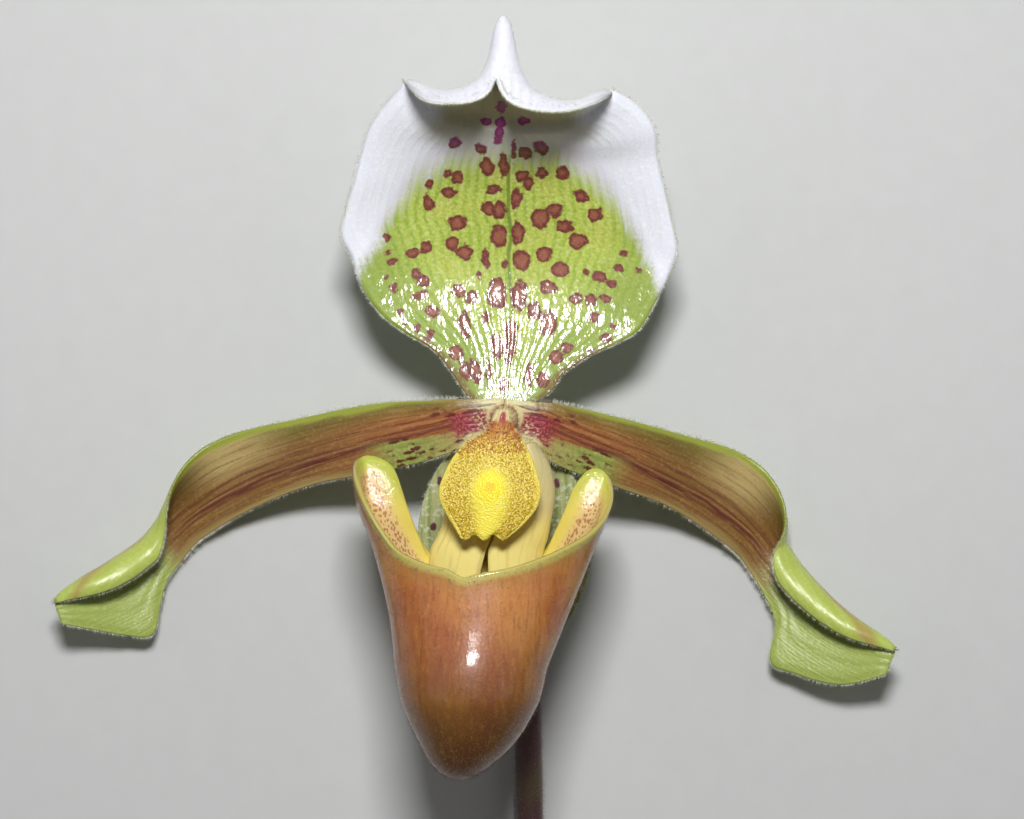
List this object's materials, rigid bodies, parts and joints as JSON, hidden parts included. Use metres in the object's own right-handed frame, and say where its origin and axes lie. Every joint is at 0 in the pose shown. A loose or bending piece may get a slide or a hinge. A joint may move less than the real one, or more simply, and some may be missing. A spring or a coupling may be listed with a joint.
{
  "type": "paphiopedilum orchid",
  "caption": "Cut bloom of a slipper orchid lying on its back: hooded sepal, long drooping petals, pouched lip and a short stem along the surface.",
  "frame": {"origin": "on the surface that the bloom lies on, under the middle of its bounding box", "axes": "+Z up, the way the open flower faces; +Y from the cut end of the stem towards the hooded upper sepal; +X towards the right petal, as seen from above with +Y up"},
  "size_m": [0.1044, 0.1392, 0.0384],
  "materials": {
    "upper_sepal_tissue": "waxy, white-bordered green with maroon spots",
    "petal_tissue": "waxy, russet with yellow-green margins",
    "lip_tissue": "waxy, russet outside and yellow inside",
    "staminode_tissue": "granular golden yellow",
    "column_tissue": "cream, hairy",
    "lower_sepal_tissue": "satin pale green",
    "ovary_tissue": "matt green, hairy",
    "bract_tissue": "satin green, spotted at the base",
    "stem_tissue": "matt dark purple-brown, hairy"
  },
  "bodies": {
    "root": {"dorsal_sepal": "upper_sepal_tissue", "petal_left": "petal_tissue", "petal_right": "petal_tissue", "lip": "lip_tissue", "staminode": "staminode_tissue", "column": "column_tissue", "synsepal": "lower_sepal_tissue", "ovary": "ovary_tissue", "bract": "bract_tissue", "stem": "stem_tissue"}
  },
  "joints": []
}
